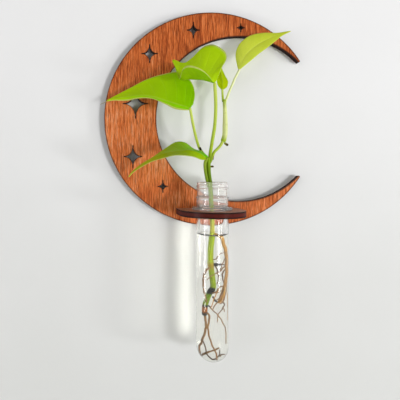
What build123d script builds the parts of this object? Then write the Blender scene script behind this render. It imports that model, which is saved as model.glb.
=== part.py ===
from build123d import *
import os
from math import cos, radians, sin, sqrt, tan

# Wall-hung crescent plaque that carries a test tube with a plant cutting in water.
# Millimetres. The wall is the plane Y = 0 and the object stands out of it towards -Y, +Z is up.
# The origin is the centre of the moon's outer circle, set on the wall.

# Sheet that the moon and the shelf are cut from
SHEET = 5.0
TAB_CLEARANCE = 0.1

# Moon: outer circle, widest part of the band, and where round the circle the horns run out
MOON_DIAMETER = 188.0
BAND_WIDTH = 46.0
HORN_ANGLE = 27.1
HORN_ROUNDING = 0.85

# Star cut-outs: angle round the moon, share of the way in across the band, half height, half width
STARS = [
    (133.0, 0.371, 8.5, 7.4),
    (101.0, 0.465, 7.4, 5.8),
    (71.7, 0.531, 3.9, 3.5),
    (168.4, 0.574, 13.6, 11.4),
    (205.8, 0.402, 10.1, 8.2),
    (234.7, 0.547, 5.7, 4.4),
]
STAR_PINCH = 0.01

# Foam pads between the moon and the wall: side, thickness, and the angle of each round the moon
PAD_SIDE = 18.0
PAD_THICKNESS = 1.0
PAD_ANGLES = {
    "foam_pad_top": 85.0,
    "foam_pad_upper_left": 149.0,
    "foam_pad_left": 189.0,
    "foam_pad_lower_left": 246.0,
}

# Tube: overall length, body and neck. Steps and overhangs are measured on the radius.
TUBE_LENGTH = 151.0
TUBE_DIAMETER = 26.4
TUBE_WALL = 3.1
TUBE_SLACK = 0.6
FLANGE_OVERHANG = 3.3
FLANGE_THICKNESS = 2.4
NECK_HEIGHT = 23.3
NECK_STEP = 0.4
NECK_WALL = 1.65
BEAD_OVERHANG = 1.1
BEAD_HEIGHT = 1.6
BEAD_RISE = 9.4
THREAD_STEP = 0.3
SHOULDER = 6.0
EDGE_ROUNDING = 0.5

# Shelf: top face above the moon's lowest point, centre line, rims round the flange, two tabs
SHELF_RISE = 15.4
SHELF_X = -3.5
SHELF_MARGIN = 10.5
FLANGE_CLEARANCE = 2.5
TAB_WIDTH = 14.0
TAB_SPACING = 28.0

# Cutting: thicknesses of its parts, flat sides round a stem and a root, how far a root thins towards
# its tip, how much of a run each bend takes up, and the gap that the cutting keeps from the tube
STEM_DIAMETER = 3.8
NODE_DIAMETER = 4.8
SIDE_STEM_DIAMETER = 2.4
SHEATH_DIAMETER = 4.4
LEAF_THICKNESS = 0.8
STEM_SIDES = 10
ROOT_SIDES = 6
ROOT_TAPER = 0.4
BEND_SHARE = 0.45
BORE_GAP = 0.4

# Stems above the shelf: right, forward and up from the tube's axis at the shelf's top face
STEM_ABOVE = [(-4, 3, 42.8), (-3.5, 2, 31.8), (-2, 1.5, 20.3), (-1, 0.5, 6.8), (0, 0, -8.2)]
SIDE_STEM = [(-3.5, 2.6, 38), (-1, 2, 42.5), (1, 2, 47.8), (4, 1, 50.8), (7.5, -1, 54.3), (10, -2, 58.8)]
SHEATH = [(10, -2, 58), (11.5, -3, 63.8), (12, -4, 72.3), (12, -4.5, 82.8), (11.5, -5, 92.3)]

# Stem in the tube: shares of the room across the bore, then of the straight depth below the shelf,
# with the round bottom from 1 to 2. The swollen nodes sit at the listed points.
STEM_BELOW = [
    (0, 0, 0.168),
    (-0.13, 0, 0.29),
    (-0.1, -0.06, 0.399),
    (0.06, -0.06, 0.513),
    (0.06, -0.06, 0.561),
    (-0.19, -0.13, 0.604),
    (-0.51, -0.13, 0.687),
    (-0.58, -0.13, 0.757),
]
STEM_NODES = (0, 2, 5)

# Leaves: each blade is a row of stations from its base to its tip, and a station gives the far edge, the
# midrib and the near edge. The stalk runs from the stem to the base. All are measured as the stems above.
LEAVES = {
    "large_left": {
        "blade": [
            ((-17, 6.5, 87.5), (-20, 8, 83.3), (-20.5, 8, 82)),
            ((-15.2, 3.5, 97), (-24, 8, 84.8), (-26, 8.5, 82)),
            ((-18, -0.5, 108), (-31.5, 7.5, 87), (-33, 8, 83.3)),
            ((-28, -4, 116), (-40, 5.5, 90), (-41, 5.5, 87.8)),
            ((-41, -6.5, 114.7), (-50.5, 2.5, 94), (-50.5, 2, 92.4)),
            ((-54.5, -8.5, 110.8), (-61, -2, 96), (-60.5, -2.5, 93.6)),
            ((-68, -10, 104), (-72.5, -6.5, 95.5), (-71, -7, 92.5)),
            ((-80, -11, 98), (-82, -10, 95), (-81.5, -10, 93.2)),
            ((-87.6, -11.5, 94), (-88.4, -11.5, 93.3), (-88, -11.5, 92.7)),
        ],
        "stalk": [
            (-4, 1.5, 40.8), (-5, -1.5, 44.5), (-8, -3, 48.8), (-11, -1.8, 53.5), (-16, 4.5, 66.3),
            (-20, 7.8, 83.2),
        ],
        "stalk_diameter": 2.3,
    },
    "upper_curled": {
        "blade": [
            ((1.5, 10, 106.5), (-1, 12, 103), (-2.5, 13, 103.5)),
            ((6.5, 6, 117.5), (-6.5, 14, 104), (-7, 18.5, 107)),
            ((12, 0, 126.5), (-12, 15, 105), (-12.5, 22.5, 110.5)),
            ((11.5, -4.5, 134), (-17.5, 14.5, 105.5), (-19, 24.5, 113)),
            ((3.5, -8, 140.5), (-22.5, 13, 106), (-25, 24, 114)),
            ((-5.5, -9.5, 139), (-26.5, 10.5, 106), (-28, 19.5, 112.5)),
            ((-14.5, -8.5, 130), (-29.5, 7, 109), (-29, 10, 107)),
            ((-22, -7.5, 125), (-30.5, 0, 118), (-30, 2, 116)),
            ((-30.5, -9, 128), (-32, -8.5, 127.5), (-32, -8, 126)),
        ],
        "stalk": [
            (-3, 3, 40.8), (-2.3, 3.5, 48), (-1, 5, 58.3), (0.4, 7, 70.3), (0.6, 9, 86.3),
            (-0.9, 11.8, 102.1),
        ],
        "stalk_diameter": 2.8,
    },
    "young": {
        "blade": [
            ((11, -3.5, 101.5), (9.5, -3.5, 101), (8.5, -3.5, 101.5)),
            ((14, -5, 104), (10, -4, 104), (6.5, -5, 104.5)),
            ((15, -6, 108.5), (10, -5, 109), (5.5, -6, 108.5)),
            ((13.5, -7, 112.5), (9.5, -6.5, 114), (6, -7, 113)),
            ((12, -8, 116.5), (9.5, -8, 118.5), (7, -8, 117.5)),
            ((10, -9, 122), (9.5, -9, 123), (8.5, -9, 122)),
        ],
        "stalk": [(10.5, -5, 91.5), (10, -4.5, 96.3), (9.5, -3.5, 101.2)],
        "stalk_diameter": 1.8,
    },
    "lower_left": {
        "blade": [
            ((-4.5, 4.5, 44.5), (-6, 6, 42.5), (-7.5, 7.5, 41.5)),
            ((-9, 1.5, 48.5), (-12, 8.5, 46.5), (-11.5, 10.5, 41.5)),
            ((-15, -1.5, 51), (-19.5, 10, 49), (-18.5, 15.5, 43.5)),
            ((-22, -4, 56.5), (-27, 10, 49), (-27, 18.5, 44.5)),
            ((-29.5, -6, 57), (-35.5, 8.5, 48), (-35, 18, 44.5)),
            ((-38.5, -8, 51.5), (-43.5, 6, 46), (-43, 16, 42.5)),
            ((-48.5, -9, 44.5), (-51.5, 2, 42.3), (-51, 9, 40.2)),
            ((-58, -10, 38.8), (-59.5, -3, 37), (-59, 3, 36)),
            ((-65.7, -11, 32.7), (-65.8, -8, 31.9), (-65.3, -5, 31.6)),
            ((-69.2, -11.5, 28), (-69.5, -11, 27.4), (-69, -10.5, 27.2)),
        ],
        "stalk": [(-2.5, 1.8, 18.5), (-5, 4, 23.3), (-7, 5, 33.3), (-7.5, 6.5, 39), (-6, 6, 42.5)],
        "stalk_diameter": 2.4,
    },
    "upper_right": {
        "blade": [
            ((24, -7.5, 120), (25, -7, 118.5), (26, -6.5, 119.5)),
            ((22.5, -8.5, 129), (26.5, -6, 125), (29.5, -5, 123)),
            ((23, -9.5, 136), (30, -6.5, 131.5), (35, -4.5, 127.7)),
            ((27, -10.5, 143.5), (36, -7, 137.5), (41.5, -5, 133.2)),
            ((35.5, -11.5, 150), (43.5, -8.5, 143), (49, -6, 138.7)),
            ((47, -12, 152.5), (53, -9.5, 147.5), (56.5, -8, 144.6)),
            ((59, -12, 152.5), (61, -10.5, 151), (63, -9.5, 149.5)),
            ((69, -12, 154.5), (70, -12, 154), (70, -11.5, 153)),
        ],
        "stalk": [
            (12.8, -5, 91.5), (16, -6, 100.8), (17.5, -6, 105.8), (19.5, -6.5, 110.8), (24.5, -7, 118),
        ],
        "stalk_diameter": 1.8,
    },
}

# Roots: thickness, what each grows from, and its route in the tube, measured as the stem there
ROOTS = {
    "right_main_root": (2.5, "main_stem", [
        (0.06, 0, 0.168), (0.63, 0.06, 0.194), (0.74, 0.11, 0.233), (0.91, 0.11, 0.29), (0.98, 0.06, 0.377),
        (0.97, -0.06, 0.473), (0.85, -0.11, 0.548), (0.68, -0.11, 0.604), (0.45, -0.06, 0.666),
    ]),
    "upper_rootlet": (0.8, "main_stem", [
        (0, 0.11, 0.355), (0.22, 0.27, 0.347), (0.38, 0.32, 0.321), (0.54, 0.32, 0.307), (0.75, 0.38, 0.303),
    ]),
    "left_loop_root": (1.5, "main_stem", [
        (-0.11, -0.05, 0.412), (-0.44, 0.16, 0.43), (-0.6, 0.22, 0.452), (-0.7, 0.22, 0.491),
        (-0.71, 0.22, 0.534), (-0.66, 0.22, 0.583), (-0.55, 0.27, 0.626), (-0.49, 0.33, 0.657),
    ]),
    "inner_rootlet": (0.9, "main_stem", [
        (0.06, -0.05, 0.395), (0.32, -0.27, 0.417), (0.43, -0.38, 0.46), (0.49, -0.38, 0.491),
        (0.38, -0.32, 0.539),
    ]),
    "middle_rootlet": (1.2, "main_stem", [
        (-0.09, -0.09, 0.604), (0.22, 0.22, 0.585), (0.38, 0.33, 0.556), (0.54, 0.35, 0.543),
        (0.76, 0.33, 0.552),
    ]),
    "right_long_root": (0.9, "main_stem", [
        (-0.43, -0.11, 0.687), (-0.24, 0.13, 0.692), (-0.11, 0.22, 0.709), (0.27, 0.22, 0.744),
        (0.54, 0.16, 0.783), (0.81, 0.11, 0.845), (0.86, 0.11, 0.893), (0.86, 0.05, 0.962),
    ]),
    "left_long_root": (1.5, "main_stem", [
        (-0.48, -0.11, 0.748), (-0.44, -0.05, 0.801), (-0.38, -0.11, 0.84), (-0.4, -0.22, 0.875),
        (-0.6, -0.27, 0.958), (-0.79, -0.27, 0.997), (-0.77, -0.27, 1.352), (-0.66, -0.27, 1.593),
        (-0.38, -0.33, 1.516), (0.22, -0.38, 1.242), (0.49, -0.38, 1.022),
    ]),
    "centre_long_root": (1.4, "main_stem", [
        (-0.46, -0.05, 0.735), (-0.2, 0.3, 0.762), (-0.2, 0.35, 0.797), (-0.35, 0.38, 0.853),
        (-0.22, 0.38, 0.919), (0, 0.33, 0.984), (0.22, 0.27, 1.348), (0.27, 0.16, 1.891),
    ]),
    "crossing_rootlet": (1.0, "right_main_root", [
        (0.9, 0.04, 0.403), (0.65, 0.32, 0.412), (0.48, 0.38, 0.434), (0.22, 0.43, 0.447),
        (-0.11, 0.46, 0.465), (-0.27, 0.48, 0.473), (-0.48, 0.48, 0.495),
    ]),
    "forked_rootlet": (0.9, "right_main_root", [
        (0.91, 0, 0.417), (0.75, -0.32, 0.447), (0.7, -0.38, 0.473), (0.75, -0.43, 0.513),
        (0.81, -0.43, 0.539),
    ]),
    "bottom_loop_root": (0.8, "left_long_root", [
        (-0.56, -0.24, 0.949), (-0.45, 0, 0.997), (-0.34, -0.05, 1.556), (0.05, -0.05, 1.909),
        (0.43, -0.05, 1.663), (0.48, -0.05, 1.342), (0.49, -0.11, 1.128),
    ]),
}

# Levels and radii that follow from the sizes above
MOON_RADIUS = MOON_DIAMETER / 2
TO_INNER_EDGE = MOON_RADIUS - BAND_WIDTH
HORN_X = MOON_RADIUS * cos(radians(HORN_ANGLE))
INNER_OFFSET = (MOON_RADIUS**2 - TO_INNER_EDGE**2) / 2 / (TO_INNER_EDGE + HORN_X)
INNER_RADIUS = INNER_OFFSET + TO_INNER_EDGE
BACK_Y = -PAD_THICKNESS
FRONT_Y = BACK_Y - SHEET
TUBE_RADIUS = TUBE_DIAMETER / 2
BORE_RADIUS = TUBE_RADIUS - TUBE_WALL
FLANGE_RADIUS = TUBE_RADIUS + FLANGE_OVERHANG
NECK_RADIUS = TUBE_RADIUS - NECK_STEP
BEAD_RADIUS = NECK_RADIUS + BEAD_OVERHANG
THREAD_RADIUS = NECK_RADIUS - THREAD_STEP
MOUTH_RADIUS = THREAD_RADIUS - NECK_WALL
HOLE_RADIUS = TUBE_RADIUS + TUBE_SLACK
SHELF_TOP = SHELF_RISE - MOON_RADIUS
SHELF_HALF_WIDTH = FLANGE_RADIUS + SHELF_MARGIN
TUBE_REACH = FLANGE_RADIUS + FLANGE_CLEARANCE
TUBE_Y = FRONT_Y - TUBE_REACH
RIM_Z = SHELF_TOP + NECK_HEIGHT
BOTTOM_Z = RIM_Z - TUBE_LENGTH
BOTTOM_CENTRE_Z = BOTTOM_Z + TUBE_RADIUS

os.makedirs("parts", exist_ok=True)


def save(name, shape):
    """Writes one piece as its own file."""
    export_step(shape, f"parts/{name}.step")


def round_the_moon(angle, radius):
    """Point in the moon's plane at an angle from +X and a distance from its centre."""
    return radius * cos(radians(angle)), radius * sin(radians(angle))


def across_band(angle, share):
    """Distance from the moon's centre at an angle and a share of the way from rim to inner edge."""
    along = INNER_OFFSET * cos(radians(angle))
    inner_edge = along + sqrt(along**2 + INNER_RADIUS**2 - INNER_OFFSET**2)
    return MOON_RADIUS + share * (inner_edge - MOON_RADIUS)


def star_face(half_height, half_width):
    """Four-pointed star with hollow sides, centred on the origin."""
    tips = [(half_width, 0), (0, half_height), (-half_width, 0), (0, -half_height)]
    sides = []
    for i, tip in enumerate(tips):
        following = tips[(i + 1) % 4]
        pull = (STAR_PINCH * (tip[0] + following[0]), STAR_PINCH * (tip[1] + following[1]))
        sides.append(Bezier(tip, pull, following))
    return make_face(sides)


def upright(sketch, front, depth):
    """Sketch drawn in X and Z, made solid from the plane Y = front back towards the wall."""
    return extrude(Plane((0, front, 0), x_dir=(1, 0, 0), z_dir=(0, -1, 0)) * sketch, -depth)


def tab_centres():
    """X of the middle of each tab of the shelf."""
    return [SHELF_X - TAB_SPACING / 2, SHELF_X + TAB_SPACING / 2]


def crescent_face():
    """Crescent between the outer and the inner circle, with a small arc that rounds each horn."""
    inner_centre = Vector(INNER_OFFSET, 0)
    to_outer = MOON_RADIUS - HORN_ROUNDING
    to_inner = INNER_RADIUS + HORN_ROUNDING
    x = (to_outer**2 - to_inner**2 + INNER_OFFSET**2) / (2 * INNER_OFFSET)
    horns = []
    for side in (1, -1):
        centre = Vector(x, side * sqrt(to_outer**2 - x**2))
        on_outer = centre * (MOON_RADIUS / to_outer)
        on_inner = inner_centre + (centre - inner_centre) * (INNER_RADIUS / to_inner)
        outwards = Vector(centre.Y, -centre.X).normalized() * side
        horns.append((on_inner, centre + outwards * HORN_ROUNDING, on_outer))
    upper, lower = horns
    return make_face(
        [
            ThreePointArc(upper[2], (-MOON_RADIUS, 0), lower[2]),
            ThreePointArc(lower[2], lower[1], lower[0]),
            ThreePointArc(lower[0], (INNER_OFFSET - INNER_RADIUS, 0), upper[0]),
            ThreePointArc(upper[0], upper[1], upper[2]),
        ]
    )


def moon_plate():
    """Crescent with its star cut-outs and the slots for the shelf's tabs."""
    face = crescent_face()
    for angle, share, half_height, half_width in STARS:
        centre = round_the_moon(angle, across_band(angle, share))
        face -= Pos(*centre) * star_face(half_height, half_width)
    for x in tab_centres():
        slot = Rectangle(TAB_WIDTH + 2 * TAB_CLEARANCE, SHEET + 2 * TAB_CLEARANCE)
        face -= Pos(x, SHELF_TOP - SHEET / 2) * slot
    return upright(face, FRONT_Y, SHEET)


def tube_shelf():
    """D-shaped shelf, round about the tube, with tabs that reach the back of the moon."""
    width = 2 * SHELF_HALF_WIDTH
    face = Pos(SHELF_X, TUBE_Y) * Circle(SHELF_HALF_WIDTH)
    face += Pos(SHELF_X, FRONT_Y) * Rectangle(width, TUBE_REACH, align=(Align.CENTER, Align.MAX))
    face -= Pos(SHELF_X, FRONT_Y) * Rectangle(width, width, align=(Align.CENTER, Align.MIN))
    for x in tab_centres():
        face += Pos(x, FRONT_Y) * Rectangle(TAB_WIDTH, SHEET, align=(Align.CENTER, Align.MIN))
    face -= Pos(SHELF_X, TUBE_Y) * Circle(HOLE_RADIUS)
    return extrude(Pos(0, 0, SHELF_TOP) * face, -SHEET)


def foam_pad(angle):
    """Square pad stuck to the back of the band, turned to follow it."""
    middle = round_the_moon(angle, across_band(angle, 1 / 2))
    square = Pos(*middle) * Rot(0, 0, angle) * Rectangle(PAD_SIDE, PAD_SIDE)
    return upright(square, BACK_Y, PAD_THICKNESS)


def test_tube():
    """Clear tube with a round bottom and a bottle-type neck, turned about its axis."""
    flange_top = SHELF_TOP + FLANGE_THICKNESS
    bead_low = SHELF_TOP + BEAD_RISE
    bead_top = bead_low + BEAD_HEIGHT
    diagonal = sqrt(1 / 2)
    wall = Polyline(
        (TUBE_RADIUS, BOTTOM_CENTRE_Z),
        (TUBE_RADIUS, SHELF_TOP),
        (FLANGE_RADIUS - EDGE_ROUNDING, SHELF_TOP),
        (FLANGE_RADIUS, SHELF_TOP + EDGE_ROUNDING),
        (FLANGE_RADIUS, flange_top - EDGE_ROUNDING),
        (FLANGE_RADIUS - EDGE_ROUNDING, flange_top),
        (NECK_RADIUS, flange_top),
        (NECK_RADIUS, bead_low),
        (BEAD_RADIUS, bead_low + EDGE_ROUNDING),
        (BEAD_RADIUS, bead_top - EDGE_ROUNDING),
        (THREAD_RADIUS, bead_top + EDGE_ROUNDING),
        (THREAD_RADIUS, RIM_Z - EDGE_ROUNDING),
        (THREAD_RADIUS - EDGE_ROUNDING, RIM_Z),
        (MOUTH_RADIUS, RIM_Z),
        (MOUTH_RADIUS, flange_top),
        (BORE_RADIUS, flange_top - SHOULDER),
        (BORE_RADIUS, BOTTOM_CENTRE_Z),
    )
    inside_bottom = ThreePointArc(
        (BORE_RADIUS, BOTTOM_CENTRE_Z),
        (BORE_RADIUS * diagonal, BOTTOM_CENTRE_Z - BORE_RADIUS * diagonal),
        (0, BOTTOM_CENTRE_Z - BORE_RADIUS),
    )
    on_axis = Line((0, BOTTOM_CENTRE_Z - BORE_RADIUS), (0, BOTTOM_Z))
    outside_bottom = ThreePointArc(
        (0, BOTTOM_Z),
        (TUBE_RADIUS * diagonal, BOTTOM_CENTRE_Z - TUBE_RADIUS * diagonal),
        (TUBE_RADIUS, BOTTOM_CENTRE_Z),
    )
    profile = make_face([wall, inside_bottom, on_axis, outside_bottom])
    half = Plane((SHELF_X, TUBE_Y, 0), x_dir=(1, 0, 0), z_dir=(0, -1, 0)) * profile
    return revolve(half, Axis((SHELF_X, TUBE_Y, 0), (0, 0, 1)))


def from_seat(right, forward, up):
    """Point measured from the tube's axis at the shelf's top face."""
    return Vector(SHELF_X + right, TUBE_Y - forward, SHELF_TOP + up)


def in_bore(right, forward, down, thickness):
    """Point in the tube from shares of the room across the bore and of the depth."""
    room = BORE_RADIUS - BORE_GAP - thickness / 2
    up = min(down, 1) * (BOTTOM_CENTRE_Z - SHELF_TOP) - max(down - 1, 0) * room
    return from_seat(right * room, forward * room, up)


def strand(points, thickness, sides, taper=0, swollen=()):
    """Strand of flat sides through the middle of each run and round each bend, thinning by its taper."""
    runs = [after - before for before, after in zip(points, points[1:])]
    stations = [(points[0], runs[0], 1)]
    for i, run in enumerate(runs):
        stations.append((points[i] + run * (1 / 2), run, 1))
        if i + 1 < len(runs):
            following = runs[i + 1]
            turn = radians(run.get_angle(following))
            inset = BEND_SHARE * min(run.length, following.length) * tan(turn / 4)
            inwards = (following.normalized() - run.normalized()).normalized()
            onwards = run.normalized() + following.normalized()
            swelling = NODE_DIAMETER / thickness if points[i + 1] in swollen else 1
            stations.append((points[i + 1] + inwards * inset, onwards, swelling))
    stations.append((points[-1], runs[-1], 1))
    across = Vector(0, 1, 0).cross(runs[0])
    sections = []
    for i, (place, along, swelling) in enumerate(stations):
        across = across - along * (across.dot(along) / along.dot(along))
        share = swelling * (1 - taper * i / (len(stations) - 1))
        plane = Plane(origin=place, x_dir=across, z_dir=along)
        sections.append((plane * RegularPolygon(share * thickness / 2, sides)).wire())
    return Solid.make_loft(sections, ruled=True)


def grown(shape, *carriers):
    """What is left of a stalk or root outside the pieces that it grows from."""
    for carrier in carriers:
        shape -= carrier
    return max(shape.solids(), key=lambda solid: solid.volume)


def flat_faces(corners):
    """Two triangles over four corners in order round them."""
    a, b, c, d = corners
    return [Face(Wire.make_polygon(triangle, close=True)) for triangle in ([a, b, c], [a, c, d])]


def leaf_blade(leaf):
    """Thin blade folded along its midrib, of flat triangles from station to station."""
    stations = [[from_seat(*point) for point in station] for station in leaf["blade"]]
    rings = []
    for i, (far, middle, near) in enumerate(stations):
        along = stations[min(i + 1, len(stations) - 1)][1] - stations[max(i - 1, 0)][1]
        rise = along.cross(far - near).normalized() * (LEAF_THICKNESS / 2)
        upper = [far + rise, middle + rise, near + rise]
        lower = [near - rise, middle - rise, far - rise]
        rings.append(upper + lower)
    faces = []
    for ring, following in zip(rings, rings[1:]):
        for i in range(len(ring)):
            j = (i + 1) % len(ring)
            if i < len(ring) / 2 - 1:
                faces += flat_faces([ring[i], ring[j], following[j], following[i]])
            else:
                faces += flat_faces([ring[j], following[j], following[i], ring[i]])
    for far_up, middle_up, near_up, near_low, middle_low, far_low in (rings[0], rings[-1]):
        faces += flat_faces([far_up, middle_up, middle_low, far_low])
        faces += flat_faces([middle_up, near_up, near_low, middle_low])
    return Solid(Shell(faces))


def leaf_stalk(leaf, *carriers):
    """Stalk from the stem to the base of a blade."""
    points = [from_seat(*point) for point in leaf["stalk"]]
    return grown(strand(points, leaf["stalk_diameter"], STEM_SIDES), *carriers)


def main_stem():
    """Cutting's stem from above the tube's mouth down into the water, swollen at its nodes."""
    above = [from_seat(*point) for point in STEM_ABOVE]
    below = [in_bore(*point, STEM_DIAMETER) for point in STEM_BELOW]
    return strand(above + below, STEM_DIAMETER, STEM_SIDES, swollen=[below[node] for node in STEM_NODES])


plant = {"main_stem": main_stem()}
blades = {name: leaf_blade(leaf) for name, leaf in LEAVES.items()}
sheath = strand([from_seat(*point) for point in SHEATH], SHEATH_DIAMETER, STEM_SIDES)
plant["shoot_sheath"] = sheath
upper_stalk = leaf_stalk(LEAVES["upper_curled"], plant["main_stem"], blades["upper_curled"])
carriers = {
    "large_left": (plant["main_stem"], upper_stalk),
    "upper_curled": (plant["main_stem"],),
    "young": (sheath,),
    "lower_left": (plant["main_stem"],),
    "upper_right": (sheath,),
}
for name, leaf in LEAVES.items():
    plant[f"{name}_leaf"] = blades[name]
    plant[f"{name}_stalk"] = leaf_stalk(leaf, *carriers[name], blades[name])
side_stem = strand([from_seat(*point) for point in SIDE_STEM], SIDE_STEM_DIAMETER, STEM_SIDES)
plant["side_stem"] = grown(side_stem, plant["main_stem"], upper_stalk, sheath)
for name, (thickness, carrier, route) in ROOTS.items():
    root = strand([in_bore(*point, thickness) for point in route], thickness, ROOT_SIDES, ROOT_TAPER)
    plant[name] = grown(root, plant[carrier])

for name, shape in plant.items():
    save(name, shape)
save("moon_plate", moon_plate())
save("tube_shelf", tube_shelf())
for name, angle in PAD_ANGLES.items():
    save(name, foam_pad(angle))
save("test_tube", test_tube())
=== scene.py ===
"""Dresses a wall-hung moon plaque whose shelf carries a clear tube with a plant cutting in water."""
import logging
import math
from dataclasses import dataclass, field
from enum import Enum
from typing import Any, Callable, Dict, List, Optional, Sequence, Tuple, Union

import bmesh
import bpy
import numpy as np
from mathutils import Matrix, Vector


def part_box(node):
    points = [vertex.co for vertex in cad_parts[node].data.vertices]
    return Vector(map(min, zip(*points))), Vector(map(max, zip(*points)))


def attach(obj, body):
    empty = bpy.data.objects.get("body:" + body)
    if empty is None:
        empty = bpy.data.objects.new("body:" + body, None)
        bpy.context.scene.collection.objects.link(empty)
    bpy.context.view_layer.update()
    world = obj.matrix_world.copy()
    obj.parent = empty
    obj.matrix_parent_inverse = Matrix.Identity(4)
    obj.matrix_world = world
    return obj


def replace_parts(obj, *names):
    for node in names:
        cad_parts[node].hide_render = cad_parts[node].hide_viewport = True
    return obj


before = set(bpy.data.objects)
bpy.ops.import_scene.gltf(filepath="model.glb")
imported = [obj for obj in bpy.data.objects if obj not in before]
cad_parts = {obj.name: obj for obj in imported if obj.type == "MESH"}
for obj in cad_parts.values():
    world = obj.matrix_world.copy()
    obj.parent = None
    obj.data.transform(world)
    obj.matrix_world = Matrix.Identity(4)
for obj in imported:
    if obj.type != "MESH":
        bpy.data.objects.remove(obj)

LOG = logging.getLogger("moon_plaque")
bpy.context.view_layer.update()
MM = 0.001
# Middle of the tube at the shelf's top face, in millimetres.
TUBE_SEAT = np.array([-3.5, -25.0, -78.6])

Colour = Tuple[float, float, float, float]
Point = Tuple[float, float, float]
Profile = List[Tuple[float, float]]
Span = Tuple[float, float]
Stop = Tuple[float, Colour]
Station = Tuple[Point, Point, Point]
Term = Union["Value", float]


def rgb(red: float, green: float, blue: float) -> Colour:
    """Turns a screen colour of 0 to 255 into the linear colour that shaders take.

    Args:
        red: Red share of the screen colour.
        green: Green share of the screen colour.
        blue: Blue share of the screen colour.

    Returns:
        Linear red, green, blue and full opacity.
    """
    linear = []
    for channel in (red, green, blue):
        share = channel / 255
        linear.append(share / 12.92 if share <= 0.04045 else ((share + 0.055) / 1.055) ** 2.4)
    return linear[0], linear[1], linear[2], 1.0


def operation(kind: str, reflected: bool = False) -> Callable[..., "Value"]:
    """Makes a method that puts a value, and a second one if there is one, through a Math node.

    Args:
        kind: Name of the operation in the node.
        reflected: Whether the second value stands on the left.

    Returns:
        The method, which hands back the result as a value.
    """

    def method(self: "Value", other: Term = 0.0) -> "Value":
        """Adds the Math node."""
        terms = {0: other, 1: self} if reflected else {0: self, 1: other}
        return self.graph.node("ShaderNodeMath", {"operation": kind}, terms)

    return method


class Value:
    """Output of a shader node that takes part in Python expressions."""

    __add__ = __radd__ = operation("ADD")
    __sub__ = operation("SUBTRACT")
    __rsub__ = operation("SUBTRACT", reflected=True)
    __mul__ = __rmul__ = operation("MULTIPLY")
    __truediv__ = operation("DIVIDE")
    __rtruediv__ = operation("DIVIDE", reflected=True)
    __pow__ = operation("POWER")
    __rpow__ = operation("POWER", reflected=True)
    __abs__ = operation("ABSOLUTE")
    least = operation("MINIMUM")
    most = operation("MAXIMUM")
    wave = operation("SINE")

    def __init__(self, graph: "Graph", socket: bpy.types.NodeSocket) -> None:
        """Keeps the socket and the graph that it belongs to."""
        self.graph = graph
        self.socket = socket

    def ease(self, low: float, high: float) -> "Value":
        """Runs smoothly from 0 at the low limit to 1 at the high one."""
        limits = {"Value": self, "From Min": low, "From Max": high}
        return self.graph.node("ShaderNodeMapRange", {"interpolation_type": "SMOOTHSTEP"}, limits)


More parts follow.
